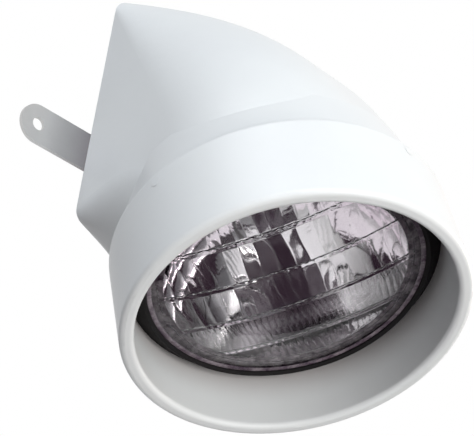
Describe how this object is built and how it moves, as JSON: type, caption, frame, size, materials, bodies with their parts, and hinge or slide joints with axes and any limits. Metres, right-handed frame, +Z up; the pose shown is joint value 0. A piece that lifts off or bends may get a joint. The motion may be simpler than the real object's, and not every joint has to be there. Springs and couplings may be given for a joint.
{
  "type": "mast light",
  "caption": "White hooded light for a boat mast: moulded hood and round shroud, sealed lamp in a black rubber ring, steel mounting strap.",
  "frame": {"origin": "on the mast face, midway between the two strap holes", "axes": "+Z up along the mast, +Y into the mast, -Y ahead, light symmetric about X = 0"},
  "size_m": [0.1818, 0.143, 0.1801],
  "materials": {
    "hood_plastic": "moulded white plastic, satin gloss",
    "shroud_plastic": "moulded white plastic, satin gloss, rounded lip",
    "small_steel": "small stainless screw heads",
    "seal_rubber": "black round seal cord",
    "ring_rubber": "soft black rubber, slight sheen",
    "lens_glass": "clear pressed glass with bands and flutes",
    "silvered_glass": "glass bowl silvered inside",
    "plated_metal": "tinned metal caps",
    "brass_lug": "flat brass",
    "brass_screw": "turned brass screws",
    "post_wire": "stiff plated wire",
    "filament_wire": "coiled dark metal wire",
    "plate_plastic": "flat white plastic, matt",
    "seal_foam": "thin black seal",
    "plate_screw_steel": "flush stainless screws",
    "strap_steel": "stainless strap, fine brushed along its length",
    "strap_screw_steel": "flush stainless screws",
    "washer_steel": "plain stainless washers",
    "nut_steel": "stainless hexagon nuts",
    "grommet_rubber": "black rubber grommet"
  },
  "bodies": {
    "casing": {"rear_housing": "hood_plastic", "front_shroud": "shroud_plastic", "shroud_screws": "small_steel", "collar_seal": "seal_rubber", "lamp_ring": "ring_rubber", "back_plate": "plate_plastic", "back_seal": "seal_foam", "plate_screws": "plate_screw_steel", "mounting_strap": "strap_steel", "strap_screws": "strap_screw_steel", "strap_washers": "washer_steel", "strap_nuts": "nut_steel", "cable_grommet": "grommet_rubber"},
    "lamp": {"lamp_lens": "lens_glass", "lamp_reflector": "silvered_glass", "lamp_contacts": "plated_metal", "terminal_lugs": "brass_lug", "terminal_screws": "brass_screw", "filament_posts": "post_wire", "lamp_filament": "filament_wire"}
  },
  "joints": [
    {"name": "lamp_turn", "type": "hinge", "parent": "casing", "child": "lamp", "pos_m": [0, -0.0715, -0.053], "axis": [0, -0.3987, -0.9171], "continuous": true}
  ]
}
